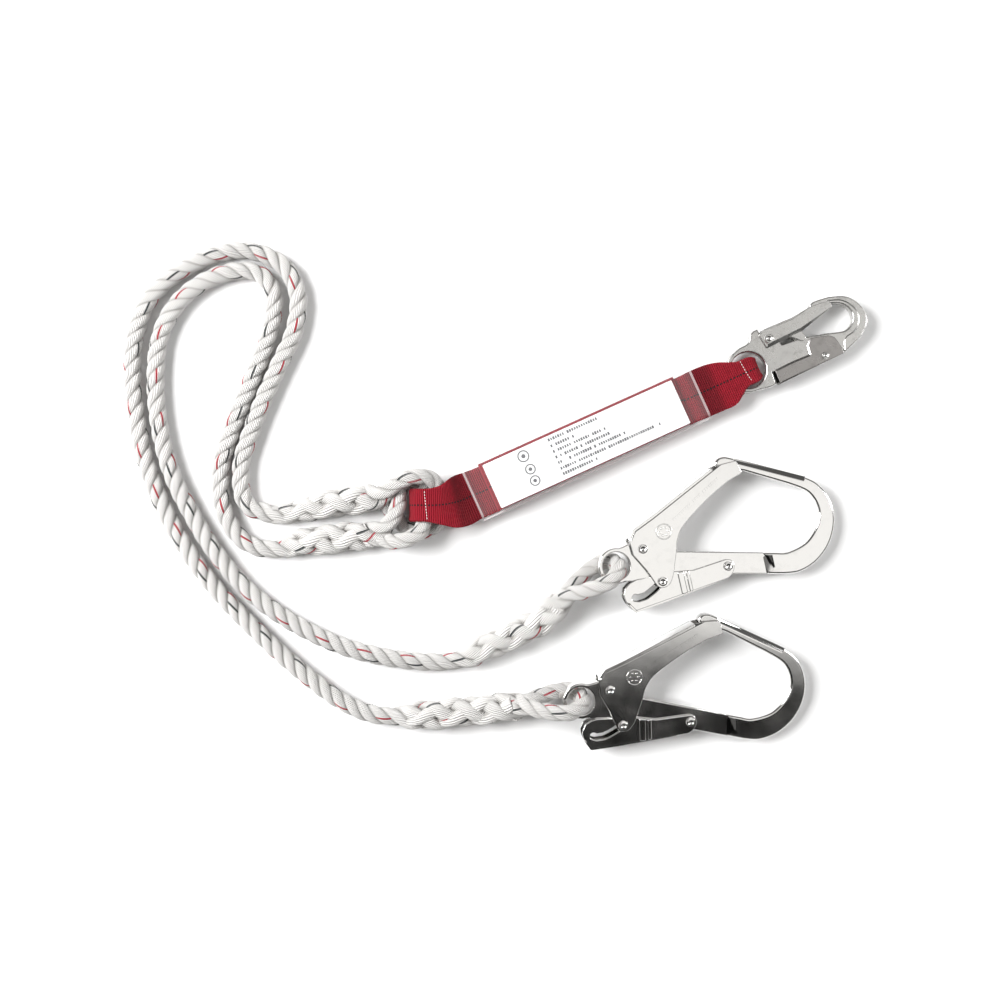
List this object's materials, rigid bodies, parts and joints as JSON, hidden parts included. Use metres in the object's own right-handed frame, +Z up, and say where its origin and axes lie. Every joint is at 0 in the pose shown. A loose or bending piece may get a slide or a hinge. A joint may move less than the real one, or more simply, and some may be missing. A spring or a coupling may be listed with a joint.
{
  "type": "shock absorbing lanyard",
  "caption": "Twin-leg rope fall-arrest lanyard with a sleeved energy absorber, a snap hook and scaffold hooks, laid out flat.",
  "frame": {"origin": "middle of the absorber pack's underside, on the surface the lanyard lies on", "axes": "+X towards the noses of the three hooks, +Y across the layout towards the top of the rope bight, +Z up from the surface"},
  "size_m": [0.6688, 0.4553, 0.047],
  "materials": {
    "red_webbing": "woven polyester, matt",
    "white_rope": "three-strand laid rope, matt with a soft sheen",
    "label_card": "smooth card",
    "clear_vinyl": "clear, glossy",
    "grey_nylon": "smooth",
    "plated_steel": "bright plated, polished",
    "satin_zinc": "satin zinc plated",
    "spring_steel": "bright wire"
  },
  "bodies": {
    "pack": {"absorber_core": "red_webbing", "label_card": "label_card", "clear_sleeve": "clear_vinyl", "hook_end_webbing": "red_webbing", "rope_end_webbing": "red_webbing", "upper_leg_rope": "white_rope", "lower_leg_rope": "white_rope", "upper_leg_pack_splice": "white_rope", "lower_leg_pack_splice": "white_rope", "upper_leg_hook_splice": "white_rope", "lower_leg_hook_splice": "white_rope", "upper_thimble": "grey_nylon", "lower_thimble": "grey_nylon"},
    "upper_hook": {"upper_hook_body": "plated_steel", "upper_hook_gate_rivet": "plated_steel", "upper_hook_lever_rivet": "plated_steel", "upper_hook_gate_spring": "spring_steel"},
    "upper_hook_gate_assembly": {"upper_hook_gate": "plated_steel", "upper_hook_latch_pin": "plated_steel"},
    "upper_hook_lever_assembly": {"upper_hook_lock_lever": "plated_steel", "upper_hook_lever_spring": "spring_steel"},
    "lower_hook": {"lower_hook_body": "plated_steel", "lower_hook_gate_rivet": "plated_steel", "lower_hook_lever_rivet": "plated_steel", "lower_hook_gate_spring": "spring_steel"},
    "lower_hook_gate_assembly": {"lower_hook_gate": "plated_steel", "lower_hook_latch_pin": "plated_steel"},
    "lower_hook_lever_assembly": {"lower_hook_lock_lever": "plated_steel", "lower_hook_lever_spring": "spring_steel"},
    "snap_hook": {"snap_hook_body": "satin_zinc", "snap_hook_gate_rivet": "satin_zinc", "snap_hook_lever_rivet": "satin_zinc", "snap_hook_gate_spring": "spring_steel"},
    "snap_hook_gate_assembly": {"snap_hook_gate": "satin_zinc"},
    "snap_hook_lever_assembly": {"snap_hook_lock_lever": "satin_zinc", "snap_hook_lever_spring": "spring_steel"}
  },
  "joints": [
    {"name": "upper_hook_swing", "type": "hinge", "parent": "pack", "child": "upper_hook", "pos_m": [0.0256, -0.108, 0.024], "axis": [0, 0, 1], "range_deg": [-5, 14]},
    {"name": "lower_hook_swing", "type": "hinge", "parent": "pack", "child": "lower_hook", "pos_m": [-0.0058, -0.2274, 0.0246], "axis": [0, 0, 1], "range_deg": [-40, 5]},
    {"name": "snap_hook_swing", "type": "hinge", "parent": "pack", "child": "snap_hook", "pos_m": [0.1454, 0.067, 0.01], "axis": [0, 0, 1], "range_deg": [-30, 30]},
    {"name": "upper_hook_gate_hinge", "type": "hinge", "parent": "upper_hook", "child": "upper_hook_gate_assembly", "pos_m": [0.04829, -0.09275, 0.02203], "axis": [0.0855, 0.0017, 0.9963], "range_deg": [-30, 0], "stiffness_Nm_per_rad": 0.4, "springref_deg": 25.78},
    {"name": "upper_hook_lever_hinge", "type": "hinge", "parent": "upper_hook", "child": "upper_hook_lever_assembly", "pos_m": [0.12542, -0.10832, 0.01544], "axis": [0.0855, 0.0017, 0.9963], "range_deg": [-6, 0], "stiffness_Nm_per_rad": 0.2, "springref_deg": 11.46},
    {"name": "lower_hook_gate_hinge", "type": "hinge", "parent": "lower_hook", "child": "lower_hook_gate_assembly", "pos_m": [0.01943, -0.21675, 0.02331], "axis": [0.0863, -0.0842, 0.9927], "range_deg": [-30, 0], "stiffness_Nm_per_rad": 0.4, "springref_deg": 25.78},
    {"name": "lower_hook_lever_hinge", "type": "hinge", "parent": "lower_hook", "child": "lower_hook_lever_assembly", "pos_m": [0.09202, -0.24651, 0.01447], "axis": [0.0863, -0.0842, 0.9927], "range_deg": [-6, 0], "stiffness_Nm_per_rad": 0.2, "springref_deg": 11.46},
    {"name": "snap_hook_gate_hinge", "type": "hinge", "parent": "snap_hook", "child": "snap_hook_gate_assembly", "pos_m": [0.16334, 0.0948, 0.01], "axis": [0, 0, 1], "range_deg": [-16, 0], "stiffness_Nm_per_rad": 0.4, "springref_deg": 25.78},
    {"name": "snap_hook_lever_hinge", "type": "hinge", "parent": "snap_hook", "child": "snap_hook_lever_assembly", "pos_m": [0.21389, 0.07987, 0.01], "axis": [0, 0, 1], "range_deg": [-4.8, 0], "stiffness_Nm_per_rad": 0.2, "springref_deg": 11.46}
  ],
  "couplings": [
    {"joint": "upper_hook_lever_hinge", "follows": "upper_hook_gate_hinge", "ratio": 0.2},
    {"joint": "lower_hook_lever_hinge", "follows": "lower_hook_gate_hinge", "ratio": 0.2},
    {"joint": "snap_hook_lever_hinge", "follows": "snap_hook_gate_hinge", "ratio": 0.3}
  ]
}
